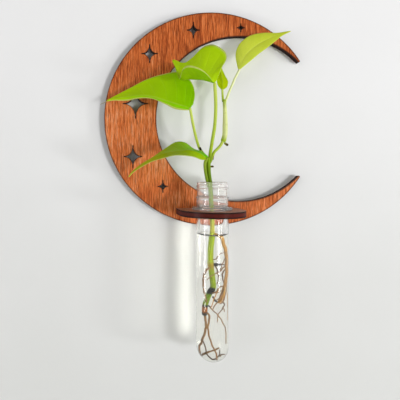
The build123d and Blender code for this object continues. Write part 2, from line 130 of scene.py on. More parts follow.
class Graph:
    """Shader nodes of one material or world."""

    def __init__(self, tree: bpy.types.NodeTree) -> None:
        """Takes an existing node tree and empties it."""
        self.tree = tree
        tree.nodes.clear()

    def add(
        self, kind: str, settings: Dict[str, Any], inputs: Dict[Union[int, str], Any]
    ) -> bpy.types.Node:
        """Adds one node.

        Args:
            kind: Class name of the node type.
            settings: Properties of the node, or the stops of a ramp, set before its sockets.
            inputs: Numbers, colours, vectors or values for its sockets, by name or place.

        Returns:
            The new node.
        """
        node = self.tree.nodes.new(kind)
        for name, setting in settings.items():
            if name == "stops":
                self._set_stops(node.color_ramp, setting)
            else:
                setattr(node, name, setting)
        for key, given in inputs.items():
            socket = node.inputs[key]
            if isinstance(given, Value):
                self.tree.links.new(given.socket, socket)
            else:
                socket.default_value = given
        return node

    def node(
        self,
        kind: str,
        settings: Dict[str, Any],
        inputs: Dict[Union[int, str], Any],
        output: Union[int, str] = 0,
    ) -> Value:
        """Adds one node and hands back the output that is named or numbered."""
        return Value(self, self.add(kind, settings, inputs).outputs[output])

    @staticmethod
    def _set_stops(ramp: bpy.types.ColorRamp, stops: Sequence[Stop]) -> None:
        """Gives a ramp its stops.

        Args:
            ramp: Ramp of a new node.
            stops: Place and colour of each stop, in order.
        """
        while len(ramp.elements) < len(stops):
            ramp.elements.new(1.0)
        for element, (place, colour) in zip(ramp.elements, stops):
            element.position = place
            element.color = colour

    def place(self) -> Value:
        """Position in the object's own frame, in metres."""
        return self.node("ShaderNodeTexCoord", {}, {}, "Object")

    def across_and_along(self) -> Tuple[Value, Value]:
        """Both coordinates of the surface's own map."""
        both = self.node("ShaderNodeTexCoord", {}, {}, "UV")
        return self.axis(both, "X"), self.axis(both, "Y")

    def axis(self, vector: Value, name: str) -> Value:
        """One component of a vector."""
        return self.node("ShaderNodeSeparateXYZ", {}, {0: vector}, name)

    def scaled(self, vector: Value, factors: Point) -> Value:
        """Vector stretched by a factor on each axis."""
        return self.node("ShaderNodeVectorMath", {"operation": "MULTIPLY"}, {0: vector, 1: factors})

    def noise(self, vector: Value, scale: float, detail: float = 2.0, roughness: float = 0.5) -> Value:
        """Smooth noise between 0 and 1."""
        inputs = {"Vector": vector, "Scale": scale, "Detail": detail, "Roughness": roughness}
        return self.node("ShaderNodeTexNoise", {}, inputs)

    def mix(self, share: Term, first: Union[Value, Colour], second: Union[Value, Colour]) -> Value:
        """Colour between two colours."""
        return self.node("ShaderNodeMix", {"data_type": "RGBA"}, {0: share, 6: first, 7: second}, 2)

    def darkened(self, share: Term, colour: Value, by: Colour) -> Value:
        """Colour multiplied by another one where the share is 1."""
        settings = {"data_type": "RGBA", "blend_type": "MULTIPLY"}
        return self.node("ShaderNodeMix", settings, {0: share, 6: colour, 7: by}, 2)

    def ramp(self, value: Value, stops: Sequence[Stop]) -> Value:
        """Colour read from stops along a value."""
        return self.node("ShaderNodeValToRGB", {"stops": stops}, {0: value})

    def bump(self, height: Value, depth: float, strength: float = 1.0) -> Value:
        """Normal of a surface raised by a height of 0 to 1 times a depth in metres."""
        return self.node("ShaderNodeBump", {}, {"Strength": strength, "Distance": depth, "Height": height})

    def principled(self, **sockets: Any) -> Value:
        """Main surface shader, its sockets named with underscores for blanks."""
        inputs = {name.replace("_", " "): given for name, given in sockets.items()}
        return self.node("ShaderNodeBsdfPrincipled", {}, inputs)

    def blended(self, share: Term, first: Value, second: Value) -> Value:
        """Shader between two shaders."""
        return self.node("ShaderNodeMixShader", {}, {0: share, 1: first, 2: second})

    def ray(self, kind: str) -> Value:
        """Whether a ray is of a kind, or how long or deep it is."""
        return self.node("ShaderNodeLightPath", {}, {}, kind)

    def passing(self, colour: Colour) -> Value:
        """Shader that lets light straight through and tints it."""
        return self.node("ShaderNodeBsdfTransparent", {}, {0: colour})

    def output(self, kind: str, shader: Value) -> None:
        """Adds the node that a shader ends in, which has no outputs of its own."""
        self.add(kind, {}, {"Surface": shader})


@dataclass(frozen=True)
class Finish:
    """Look of a material. Each kind says what shader it has."""

    def shader(self, graph: Graph) -> Value:
        """Builds the shader of this finish."""
        raise NotImplementedError

    def material(self, name: str) -> bpy.types.Material:
        """Makes a material with this finish.

        Args:
            name: Name of the material.

        Returns:
            The new material.
        """
        material = bpy.data.materials.new(name)
        material.use_nodes = True
        graph = Graph(material.node_tree)
        graph.output("ShaderNodeOutputMaterial", self.shader(graph))
        return material


class Grain(Enum):
    """Way that the grain of a sheet runs, as the stretch of its pattern on each axis."""

    UPRIGHT = (1.0, 1.0, 0.055)
    SIDEWAYS = (0.055, 1.0, 1.0)


@dataclass(frozen=True)
class StainedPlywood(Finish):
    """Stained veneer with open pores, on a sheet whose cut edges are scorched. Lengths are in metres."""

    grain: Grain
    sheet_axis: str
    rim_radius: float = 0.0
    inner_radius: float = 0.0
    inner_offset: float = 0.0
    stars: Tuple[Tuple[float, float, float, float], ...] = ()
    ply_middle: float = 0.0
    ply_half: float = 0.0
    coat: float = 0.0
    pale: Colour = rgb(236, 170, 126)
    light: Colour = rgb(220, 122, 62)
    middle: Colour = rgb(184, 88, 36)
    deep: Colour = rgb(124, 50, 16)
    pore: Colour = rgb(84, 30, 10)
    char: Colour = rgb(22, 10, 7)
    toasted: Colour = rgb(58, 27, 20)
    streak_scale: float = 1750.0
    figure_scale: float = 260.0
    cloud_scale: float = 38.0
    pore_scale: float = 2100.0
    pore_share: float = 0.58
    soot_scale: float = 420.0
    rim_scorch: Span = (0.0003, 0.0013)
    star_edge: float = 1.03
    # Round each star the char is partly laser char and partly painted shade; the arm lines are painted
    # shade.
    star_char_and_shade: float = 0.0013
    arm_painted_shade: Span = (0.0003, 0.0009)
    painted_arm_end: Span = (0.92, 1.05)
    # Height and reach of a band where the veneer is lighter.
    lighter_band_height: float = -0.025
    lighter_band_reach: Span = (0.02, 0.1)
    ply_seam: Span = (0.3, 0.75)

    def _from_edge(self, graph: Graph, place: Value) -> Value:
        """Measures how far inside the moon's nearer circle a place lies.

        Args:
            graph: Graph that the nodes go into.
            place: Position in the object's own frame.

        Returns:
            Distance in metres.
        """
        x = graph.axis(place, "X")
        z = graph.axis(place, "Z")
        to_rim = self.rim_radius - (x * x + z * z) ** 0.5
        shifted = x - self.inner_offset
        to_inner = (shifted * shifted + z * z) ** 0.5 - self.inner_radius
        return to_rim.least(to_inner)

    def _round_stars(self, graph: Graph, place: Value) -> Value:
        """Works out the char round the star cut-outs, with painted shade round them and along each arm,
        where the holes read dark.

        Args:
            graph: Graph that the nodes go into.
            place: Position in the object's own frame.

        Returns:
            Share from 0 well off the stars to 1 at their edges.
        """
        x = graph.axis(place, "X")
        z = graph.axis(place, "Z")
        char_and_shade = x * 0.0
        start, end = self.painted_arm_end
        for star_x, star_z, half_height, half_width in self.stars:
            off_x = abs(x - star_x)
            off_z = abs(z - star_z)
            reach = (off_x / half_width) ** 0.5 + (off_z / half_height) ** 0.5
            char_end = self.star_edge + self.star_char_and_shade / half_height
            char_and_shade = char_and_shade.most(1 - reach.ease(self.star_edge, char_end))
            # Painted shade: thin black lines along each arm stand in for the shaded holes there.
            for beside, along, half in ((off_x, off_z, half_height), (off_z, off_x, half_width)):
                arm = (1 - beside.ease(*self.arm_painted_shade)) * (1 - along.ease(half * start, half * end))
                char_and_shade = char_and_shade.most(arm)
        return char_and_shade

    def shader(self, graph: Graph) -> Value:
        """Veneer on the faces and char on the cut edges.

        Args:
            graph: Graph that the nodes go into.

        Returns:
            The finished shader.
        """
        place = graph.place()
        fibres = graph.scaled(place, self.grain.value)
        streaks = graph.noise(fibres, self.streak_scale, 3.0, 0.65)
        figure = graph.noise(fibres, self.figure_scale)
        cloud = graph.noise(place, self.cloud_scale)
        tone = streaks * 0.78 + figure * 0.16 + cloud * 0.2
        if self.rim_radius:
            # The veneer is lighter in a band round this height.
            off_lighter_band = abs(graph.axis(place, "Z") - self.lighter_band_height)
            tone = tone + (1 - off_lighter_band.ease(*self.lighter_band_reach)) * 0.1
        stops = [(0.44, self.deep), (0.56, self.middle), (0.68, self.light), (0.85, self.pale)]
        veneer = graph.ramp(tone, stops)
        pores = graph.noise(fibres, self.pore_scale, 2.0, 0.55).ease(0.52, 0.63)
        veneer = graph.mix(pores * self.pore_share, veneer, self.pore)
        if self.rim_radius:
            char_and_shade = (1 - self._from_edge(graph, place).ease(*self.rim_scorch)) * 0.8
            # Char and painted shade round the stars and along their arms.
            char_and_shade = char_and_shade.most(self._round_stars(graph, place) * 0.95)
            veneer = graph.mix(char_and_shade, veneer, self.char)
        facing = graph.axis(graph.node("ShaderNodeNewGeometry", {}, {}, "Normal"), self.sheet_axis)
        cut = 1 - abs(facing).ease(0.4, 0.8)
        soot = graph.noise(place, self.soot_scale, 3.0, 0.6)
        edge = graph.mix(soot.ease(0.45, 0.7), self.char, self.toasted)
        if self.ply_half:
            off_middle = abs(graph.axis(place, "Z") - self.ply_middle) / self.ply_half
            edge = graph.mix(off_middle.ease(*self.ply_seam), self.toasted, self.char)
            edge = graph.mix(soot.ease(0.5, 0.75) * 0.5, edge, self.char)
        colour = graph.mix(cut, veneer, edge)
        height = streaks * 0.4 - pores * 0.5
        return graph.principled(
            Base_Color=colour,
            Roughness=0.5 + pores * 0.2 + cut * 0.28,
            Specular_IOR_Level=0.18,
            Coat_Weight=self.coat,
            Coat_Roughness=0.3,
            Normal=graph.bump(height, 0.00012, 0.7),
        )


@dataclass(frozen=True)
class FoamTape(Finish):
    """Soft white foam with open cells."""

    colour: Colour = rgb(228, 226, 218)
    shade: Colour = rgb(184, 181, 172)

    def shader(self, graph: Graph) -> Value:
        """Pale foam with small pits.

        Args:
            graph: Graph that the nodes go into.

        Returns:
            The finished shader.
        """
        place = graph.place()
        cells = graph.node("ShaderNodeTexVoronoi", {}, {"Vector": place, "Scale": 1500.0}, "Distance")
        cloud = graph.noise(place, 240.0, 3.0)
        # Painted shade in the cells' pits, with a random cloud over it.
        colour = graph.mix(cells * 0.7 + cloud * 0.3, self.shade, self.colour)
        return graph.principled(
            Base_Color=colour,
            Roughness=0.82 + cloud * 0.12,
            Normal=graph.bump(cells, 0.0002, 0.8),
        )


@dataclass(frozen=True)
class ClearPlastic(Finish):
    """Clear moulded plastic, hazy at its flange and neck. Heights are in metres.

    Its shadow is bright in the middle and dark at the sides, as the light that passes a full tube is.
    """

    tint: Colour = rgb(254, 254, 253)
    milky: Colour = rgb(254, 250, 248)
    gleam: Colour = rgb(188, 188, 188)
    bend: float = 1.57
    flange: float = -0.0774
    flange_half: Span = (0.0013, 0.0018)
    neck_start: float = 0.004
    flange_haze: float = 0.2
    neck_haze: float = 0.1
    shadow_middle: Colour = rgb(235, 235, 233)
    shadow_side: Colour = rgb(10, 10, 10)
    shadow_slant: Span = (0.03, 0.19)

    def shader(self, graph: Graph) -> Value:
        """Refracting shell with faint mould waves, clear to light on its way to a shadow.

        Args:
            graph: Graph that the nodes go into.

        Returns:
            The finished shader.
        """
        place = graph.place()
        waves = graph.noise(graph.scaled(place, (1.0, 1.0, 0.25)), 60.0, 2.0)
        scuffs = graph.noise(place, 900.0, 3.0, 0.65)
        clear = graph.principled(
            Base_Color=self.tint,
            Roughness=scuffs.ease(0.6, 0.85) * 0.1,
            IOR=self.bend,
            Specular_Tint=self.gleam,
            Transmission_Weight=1.0,
            Normal=graph.bump(waves, 0.0006, 0.05),
        )
        height = graph.axis(place, "Z")
        ring = 1 - abs(height - self.flange).ease(*self.flange_half)
        neck = height.ease(self.flange, self.flange + self.neck_start)
        dull = graph.principled(Base_Color=self.milky, Roughness=0.4 + scuffs * 0.2)
        clear = graph.blended((ring * self.flange_haze).most(neck * self.neck_haze), clear, dull)
        slant = graph.node("ShaderNodeLayerWeight", {}, {"Blend": 0.5}, "Facing").ease(*self.shadow_slant)
        shadow = graph.blended(slant, graph.passing(self.shadow_middle), graph.passing(self.shadow_side))
        return graph.blended(graph.ray("Is Shadow Ray"), clear, shadow)


@dataclass(frozen=True)
class Water(Finish):
    """Water with a little colour from the roots."""

    tint: Colour = rgb(255, 255, 252)
    cloudy: Colour = rgb(253, 253, 249)
    shadow: Colour = rgb(254, 254, 250)
    gleam: Colour = rgb(124, 124, 124)
    bend: float = 1.333

    def shader(self, graph: Graph) -> Value:
        """Refracting water that is clear to light on its way to a shadow.

        Args:
            graph: Graph that the nodes go into.

        Returns:
            The finished shader.
        """
        cloud = graph.noise(graph.place(), 90.0, 2.0)
        clear = graph.principled(
            Base_Color=graph.mix(cloud, self.tint, self.cloudy),
            Roughness=0.0,
            IOR=self.bend,
            Specular_Tint=self.gleam,
            Transmission_Weight=1.0,
        )
        return graph.blended(graph.ray("Is Shadow Ray"), clear, graph.passing(self.shadow))


@dataclass(frozen=True)
class LeafSkin(Finish):
    """Waxy leaf with a pale midrib, side veins and rim. The map runs along X and across from 0 to 1."""

    base: Colour = rgb(150, 180, 20)
    tip: Colour = rgb(140, 176, 10)
    rib: Colour = rgb(196, 212, 90)
    rim: Colour = rgb(206, 212, 120)
    glow: Colour = rgb(190, 214, 40)
    cloud_shade: Colour = rgb(222, 232, 160)
    fleck_shade: Colour = rgb(214, 226, 170)
    veins: float = 9.0
    vein_slant: float = 1.6
    rib_share: float = 0.3
    # Where the pale rim starts across the near half; that rim is partly the margin's own colour and partly
    # painted highlight where the near margin catches the light.
    near_rim: float = 0.955
    glow_share: float = 0.14
    # Colour of the near half: painted shade on the curled and lower left leaves, whose near half faces
    # down, and the blade's own green on the large left leaf.
    near: Optional[Colour] = None

    def shader(self, graph: Graph) -> Value:
        """Glossy skin over a blade that lets some light through.

        Args:
            graph: Graph that the nodes go into.

        Returns:
            The finished shader.
        """
        along, across = graph.across_and_along()
        off_rib = abs(across - 0.5) * 2.0
        place = graph.place()
        cloud = graph.noise(place, 60.0, 3.0)
        flecks = graph.noise(place, 700.0, 2.0)
        body = graph.mix(along, self.base, self.tip)
        # The near half takes its own colour, which on some leaves is painted shade.
        if self.near:
            body = graph.mix(across.ease(0.47, 0.53), body, graph.mix(along ** 2, self.near, self.tip))
        body = graph.darkened(cloud.ease(0.35, 0.75) * 0.35, body, self.cloud_shade)
        body = graph.darkened(flecks.ease(0.5, 0.7) * 0.16, body, self.fleck_shade)
        run = (along * self.veins - off_rib * self.vein_slant + cloud * 0.25) * (2 * math.pi)
        vein = run.wave().ease(0.86, 1.0) * off_rib.ease(0.02, 0.12) * (1 - off_rib.ease(0.75, 0.95))
        rib = 1 - off_rib.ease(0.015, 0.06)
        # Pale rim on both margins, wider on the near half, where it is partly painted highlight.
        near_edge = 0.5 + self.near_rim / 2
        rim = off_rib.ease(0.955, 0.985).most(across.ease(near_edge, near_edge + 0.015))
        body = graph.mix(vein * 0.04, body, self.rib)
        body = graph.mix(rib * self.rib_share, body, self.rib)
        body = graph.mix(rim * 0.75, body, self.rim)
        height = rib * -0.5 - vein * 0.35 + cloud * 0.3 + flecks * 0.08
        normal = graph.bump(height, 0.0005, 0.55)
        skin = graph.principled(
            Base_Color=body,
            Roughness=0.42 + cloud * 0.16,
            Specular_IOR_Level=0.06,
            Coat_Weight=0.02,
            Coat_Roughness=0.25,
            Normal=normal,
        )
        through = graph.node("ShaderNodeBsdfTranslucent", {}, {"Color": self.glow, "Normal": normal})
        return graph.blended(self.glow_share, skin, through)


@dataclass(frozen=True)
class StemSkin(Finish):
    """Stem whose colour changes from its start to its end. The map runs round in X and along in Y."""

    stops: Tuple[Stop, ...]
    side: Colour = rgb(214, 226, 150)
    spot: Colour = rgb(196, 190, 120)
    ribs: float = 5.0
    roughness: float = 0.42

    def shader(self, graph: Graph) -> Value:
        """Smooth skin with faint lengthwise ribs and spots.

        Args:
            graph: Graph that the nodes go into.

        Returns:
            The finished shader.
        """
        round_it, along = graph.across_and_along()
        place = graph.place()
        cloud = graph.noise(place, 220.0, 3.0)
        fine = graph.noise(graph.scaled(place, (1.0, 1.0, 0.2)), 1600.0, 2.0)
        colour = graph.ramp(along + (cloud - 0.5) * 0.02, self.stops)
        ribs = (round_it * (2 * math.pi * self.ribs)).wave() * 0.5 + 0.5
        colour = graph.darkened(ribs * 0.22, colour, self.side)
        colour = graph.darkened(cloud.ease(0.55, 0.75) * 0.3, colour, self.spot)
        return graph.principled(
            Base_Color=colour,
            Roughness=self.roughness + cloud * 0.15,
            Specular_IOR_Level=0.14,
            Subsurface_Weight=0.1,
            Subsurface_Radius=(0.6, 0.8, 0.2),
            Subsurface_Scale=0.0012,
            Normal=graph.bump(ribs * 0.5 + fine * 0.5, 0.00008, 0.6),
        )


@dataclass(frozen=True)
class RootSkin(Finish):
    """Brown root, paler towards its tip, with dark flecks."""

    start: Colour = rgb(140, 100, 66)
    tip: Colour = rgb(186, 150, 108)
    fleck: Colour = rgb(66, 44, 30)
    fibre: Colour = rgb(180, 160, 140)

    def shader(self, graph: Graph) -> Value:
        """Dull fibrous skin.

        Args:
            graph: Graph that the nodes go into.

        Returns:
            The finished shader.
        """
        along = graph.across_and_along()[1]
        place = graph.place()
        cloud = graph.noise(place, 420.0, 3.0)
        fine = graph.noise(place, 2600.0, 2.0)
        colour = graph.mix(along, self.start, self.tip)
        colour = graph.mix(cloud.ease(0.5, 0.72) * 0.65, colour, self.fleck)
        colour = graph.darkened(fine * 0.3, colour, self.fibre)
        return graph.principled(
            Base_Color=colour,
            Roughness=0.62 + cloud * 0.2,
            Normal=graph.bump(cloud * 0.6 + fine * 0.4, 0.00015, 0.7),
        )


@dataclass(frozen=True)
class WallPaint(Finish):
    """Matt pale paint with painted shade that darkens it low down, seen from its front only. Lengths are in
    metres.
    """

    high: Colour = rgb(239, 239, 240)
    low: Colour = rgb(216, 217, 215)
    clear: Colour = rgb(255, 255, 255)
    shaded: Span = (-0.29, 0.13)
    open_reach: Span = (0.006, 0.0065)
    open_depth: Span = (1.2, 1.8)

    def shader(self, graph: Graph) -> Value:
        """Roller-marked paint, open from behind and to the short rays that light the plaque's back.

        Args:
            graph: Graph that the nodes go into.

        Returns:
            The finished shader.
        """
        place = graph.place()
        roller = graph.noise(place, 320.0, 3.0)
        cloud = graph.noise(place, 9.0, 2.0) * 0.12 - 0.06
        paint = graph.principled(
            # Painted shade: lower on the wall the paint turns darker.
            Base_Color=graph.mix((graph.axis(place, "Z") + cloud).ease(*self.shaded), self.low, self.high),
            Roughness=0.85 + roller * 0.1,
            Specular_IOR_Level=0.15,
            Normal=graph.bump(roller, 0.0002, 0.25),
        )
        behind = graph.node("ShaderNodeNewGeometry", {}, {}, "Backfacing")
        close = 1 - graph.ray("Ray Length").ease(*self.open_reach)
        early = 1 - graph.ray("Ray Depth").ease(*self.open_depth)
        return graph.blended(behind.most(close * early), paint, graph.passing(self.clear))


class Shape:
    """Mesh tools that the sub-assemblies share."""

    @staticmethod
    def flowing(points: Sequence[Point], count: int) -> np.ndarray:
        """Runs a smooth curve through points.

        Args:
            points: Points to pass through, in order.
            count: Number of points to give back.

        Returns:
            Points along the curve, spaced evenly between the given ones.
        """
        given = np.array(points, dtype=float)
        ends = np.vstack([2 * given[0] - given[1], given, 2 * given[-1] - given[-2]])
        at = np.linspace(0, len(given) - 1, count)
        first = np.minimum(at.astype(int), len(given) - 2)
        t = (at - first)[:, None]
        a, b, c, d = ends[first], ends[first + 1], ends[first + 2], ends[first + 3]
        bend = (2 * a - 5 * b + 4 * c - d) * t**2 + (3 * b - a - 3 * c + d) * t**3
        return 0.5 * (2 * b + (c - a) * t + bend)

    @staticmethod
    def from_seat(points: np.ndarray) -> np.ndarray:
        """Turns points right, forward and up from the tube's seat into the frame's own axes."""
        return TUBE_SEAT + points * (1.0, -1.0, 1.0)

    @staticmethod
    def piece(
        name: str,
        vertices: np.ndarray,
        faces: Sequence[Sequence[int]],
        chart: Optional[np.ndarray] = None,
    ) -> bpy.types.Object:
        """Makes a smooth mesh object from millimetres.

        Args:
            name: Name of the object.
            vertices: Corners in millimetres.
            faces: Corners of each face by number.
            chart: Surface coordinates of each corner, if the finish reads them.

        Returns:
            The object, linked to the scene.
        """
        mesh = bpy.data.meshes.new(name)
        mesh.from_pydata((np.asarray(vertices) * MM).tolist(), [], [list(face) for face in faces])
        if chart is not None:
            layer = mesh.uv_layers.new(name="chart")
            for loop in mesh.loops:
                layer.data[loop.index].uv = chart[loop.vertex_index]
        mesh.validate()
        work = bmesh.new()
        work.from_mesh(mesh)
        bmesh.ops.recalc_face_normals(work, faces=work.faces)
        work.to_mesh(mesh)
        work.free()
        mesh.polygons.foreach_set("use_smooth", [True] * len(mesh.polygons))
        obj = bpy.data.objects.new(name, mesh)
        bpy.context.scene.collection.objects.link(obj)
        return obj

    @staticmethod
    def rings(rows: int, around: int) -> List[List[int]]:
        """Joins rings of corners by faces, with one face over each end.

        Args:
            rows: Number of rings.
            around: Number of corners in each ring.

        Returns:
            Corners of each face by number.
        """
        faces = []
        for low in range(0, (rows - 1) * around, around):
            for i in range(around):
                j = (i + 1) % around
                faces.append([low + i, low + j, low + around + j, low + around + i])
        faces.append(list(range(around))[::-1])
        faces.append(list(range((rows - 1) * around, rows * around)))
        return faces


@dataclass
class Strand:
    """Round stem, stalk or root along a smooth route.

    The route is measured right, forward and up from the tube's axis at the shelf's top face, in
    millimetres. Knots are a share of the length, how much wider it is there, and how far that spreads.
    """

    name: str
    route: Sequence[Point]
    thickness: float
    finish: Finish
    slot: str
    end_share: float = 1.0
    knots: Sequence[Tuple[float, float, float]] = ()
    wiggle: float = 0.0
    around: int = 14
    replaces: bool = True
    steps: int = 9
    bends: Span = (0.71, 0.53)

    def _radius(self, share: float) -> float:
        """Works out the radius, with the taper and the knots.

        Args:
            share: Share of the length, from 0 to 1.

        Returns:
            Radius in millimetres.
        """
        radius = self.thickness / 2 * (1 + (self.end_share - 1) * share)
        for place, wider, spread in self.knots:
            radius *= 1 + wider * math.exp(-(((share - place) / spread) ** 2))
        return radius

    def _line(self) -> np.ndarray:
        """Runs the middle line, with the small bends of a grown thing.

        Returns:
            Points along the line in the frame's axes, in millimetres.
        """
        count = self.steps * (len(self.route) - 1) + 1
        line = Shape.flowing(self.route, count)
        at = np.arange(count)
        fade = np.sin(np.linspace(0, math.pi, count))
        phase = sum(ord(letter) for letter in self.name)
        line[:, 0] += self.wiggle * fade * np.sin(at * self.bends[0] + phase)
        line[:, 1] += self.wiggle * fade * np.sin(at * self.bends[1] + 2 * phase)
        return Shape.from_seat(line)

    def build(self) -> bpy.types.Object:
        """Makes the strand with rounded ends.

        Returns:
            The strand's object, with its finish, riding on the cutting.
        """
        line = self._line()
        tangents = np.gradient(line, axis=0)
        tangents /= np.linalg.norm(tangents, axis=1)[:, None]
        across = np.cross(tangents[0], (0.31, 0.9, 0.2))
        turns = np.linspace(0, 2 * math.pi, self.around, endpoint=False)
        corners, chart = [], []
        last = len(line) - 1
        for i, (middle, along) in enumerate(zip(line, tangents)):
            across = across - along * np.dot(across, along)
            across /= np.linalg.norm(across)
            other = np.cross(along, across)
            share = i / last
            radius = self._radius(share)
            caps = [(0.0, 1.0)]
            if i == 0:
                caps = [(-0.7, 0.35), (-0.4, 0.8), (0.0, 1.0)]
            if i == last:
                caps = [(0.0, 1.0), (0.4, 0.8), (0.7, 0.35)]
            for shift, narrow in caps:
                for j, turn in enumerate(turns):
                    outwards = across * math.cos(turn) + other * math.sin(turn)
                    corners.append(middle + along * (shift * radius) + outwards * (radius * narrow))
                    chart.append((j / self.around, share))
        rows = len(corners) // self.around
        obj = Shape.piece(self.name, np.array(corners), Shape.rings(rows, self.around), np.array(chart))
        obj.data.materials.append(self.finish.material(self.name))
        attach(obj, "cutting")
        return obj


@dataclass
class Leaf:
    """Blade folded along its midrib.

    A station gives its far edge, midrib and near edge, measured as a strand's route is. The blade's
    puff is a share of its half width, and the other sizes are in millimetres.
    """

    name: str
    stations: Sequence[Station]
    finish: LeafSkin
    thickness: float = 0.45
    puff: float = 0.05
    pucker: float = 0.1
    rows: int = 61
    half_columns: int = 12

    def build(self) -> bpy.types.Object:
        """Makes the blade as a curved sheet.

        Returns:
            The leaf's object, with its finish, riding on the cutting.
        """
        rails = [Shape.flowing([station[i] for station in self.stations], self.rows) for i in range(3)]
        far, rib, near = [Shape.from_seat(rail) for rail in rails]
        along = np.gradient(rib, axis=0)
        along /= np.linalg.norm(along, axis=1)[:, None]
        columns = 2 * self.half_columns + 1
        corners, chart = [], []
        for row in range(self.rows):
            share = row / (self.rows - 1)
            for column in range(columns):
                offset = (column - self.half_columns) / self.half_columns
                edge = far[row] if offset < 0 else near[row]
                reach = edge - rib[row]
                width = np.linalg.norm(reach)
                normal = np.cross(along[row], reach if offset < 0 else -reach)
                normal /= max(np.linalg.norm(normal), 1e-9)
                size = abs(offset)
                lift = self.puff * width * math.sin(math.pi * size) ** 0.8
                vein = math.cos(2 * math.pi * (self.finish.veins * share - self.finish.vein_slant * size))
                lift += self.pucker * vein * math.sin(math.pi * size) * min(1.0, width / 10)
                corners.append(rib[row] + reach * size + normal * lift)
                chart.append((share, 0.5 + offset / 2))
        faces = []
        for row in range(self.rows - 1):
            for column in range(columns - 1):
                start = row * columns + column
                faces.append([start, start + 1, start + columns + 1, start + columns])
        obj = Shape.piece(self.name, np.array(corners), faces, np.array(chart))
        skin = obj.modifiers.new("thickness", "SOLIDIFY")
        skin.thickness = self.thickness * MM
        skin.offset = 0.0
        obj.data.materials.append(self.finish.material(self.name))
        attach(obj, "cutting")
        return obj


@dataclass
class MoonStand:
    """Moon, shelf and the foam pads behind the moon, in millimetres and radians.

    Stars are the x and z of the middle, half the height and half the width.
    """

    rim_radius: float = 94.0
    inner_radius: float = 72.8
    inner_offset: float = 24.8
    pad_corner: float = 1.6
    pad_hollow: float = 0.35
    pad_steps: int = 4
    weld: float = 0.01
    flat_angle: float = 0.02
    pads: Tuple[str, ...] = ("foam_pad_top", "foam_pad_upper_left", "foam_pad_left", "foam_pad_lower_left")
    stars: Tuple[Tuple[float, float, float, float], ...] = (
        (-53.9, 57.7, 8.5, 7.4),
        (-15.3, 78.5, 7.4, 5.8),
        (26.6, 80.5, 3.9, 3.5),
        (-66.4, 13.6, 13.6, 11.4),
        (-68.6, -33.2, 10.1, 8.2),
        (-42.2, -59.6, 5.7, 4.4),
    )

    def build(self) -> None:
        """Makes the pads."""
        tape = FoamTape().material("foam_tape")
        for name in self.pads:
            self._pad(name, tape)

    @staticmethod
    def _sides(work: bmesh.types.BMesh, least: float) -> List[bmesh.types.BMEdge]:
        """Edges that run through a pad's thickness."""
        return [edge for edge in work.edges if abs((edge.verts[0].co - edge.verts[1].co).y) > least]

    def _pad(self, name: str, tape: bpy.types.Material) -> None:
        """Makes one pad in the place of its solid, with rounded corners and slightly hollow sides.

        Args:
            name: Node that the pad stands for.
            tape: Material of the pad.
        """
        low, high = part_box(name)
        middle = (Vector(low) + Vector(high)) / 2
        half = (high[1] - low[1]) / 2
        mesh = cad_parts[name].data.copy()
        work = bmesh.new()
        work.from_mesh(mesh)
        bmesh.ops.remove_doubles(work, verts=work.verts, dist=self.weld * MM)
        bmesh.ops.dissolve_limit(work, angle_limit=self.flat_angle, verts=work.verts, edges=work.edges)
        corners = self._sides(work, half)
        bmesh.ops.bevel(
            work, geom=corners, offset=self.pad_corner * MM, segments=self.pad_steps, affect="EDGES"
        )
        bmesh.ops.subdivide_edges(work, edges=self._sides(work, half), cuts=self.pad_steps)
        for vertex in work.verts:
            rise = max(0.0, 1 - ((vertex.co.y - middle.y) / half) ** 2)
            away = vertex.co - middle
            away.y = 0.0
            vertex.co -= away.normalized() * (self.pad_hollow * MM * rise)
        work.to_mesh(mesh)
        work.free()
        mesh.materials.clear()
        pad = bpy.data.objects.new(f"{name}_foam", mesh)
        bpy.context.scene.collection.objects.link(pad)
        pad.data.materials.append(tape)
        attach(pad, "moon_stand")
        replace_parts(pad, name)
        LOG.info("pad %s", name)

    def dress(self) -> None:
        """Stains the moon and the shelf."""
        stars = tuple((x * MM, z * MM, tall * MM, wide * MM) for x, z, tall, wide in self.stars)
        moon = StainedPlywood(
            Grain.UPRIGHT, "Y", self.rim_radius * MM, self.inner_radius * MM, self.inner_offset * MM, stars
        )
        low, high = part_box("tube_shelf")
        # The shelf's paler veneer is partly its own colour and partly painted sheen of its top.
        shelf = StainedPlywood(
            Grain.SIDEWAYS, "Z", ply_middle=(low[2] + high[2]) / 2, ply_half=(high[2] - low[2]) / 2,
            coat=0.06, pale=rgb(208, 152, 124), light=rgb(196, 136, 108), middle=rgb(176, 116, 90),
            deep=rgb(144, 88, 66), pore=rgb(92, 50, 36), toasted=rgb(84, 24, 15),
        )
        for node, finish in (("moon_plate", moon), ("tube_shelf", shelf)):
            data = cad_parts[node].data
            data.materials.clear()
            data.materials.append(finish.material(node))
            LOG.info("stained %s", node)


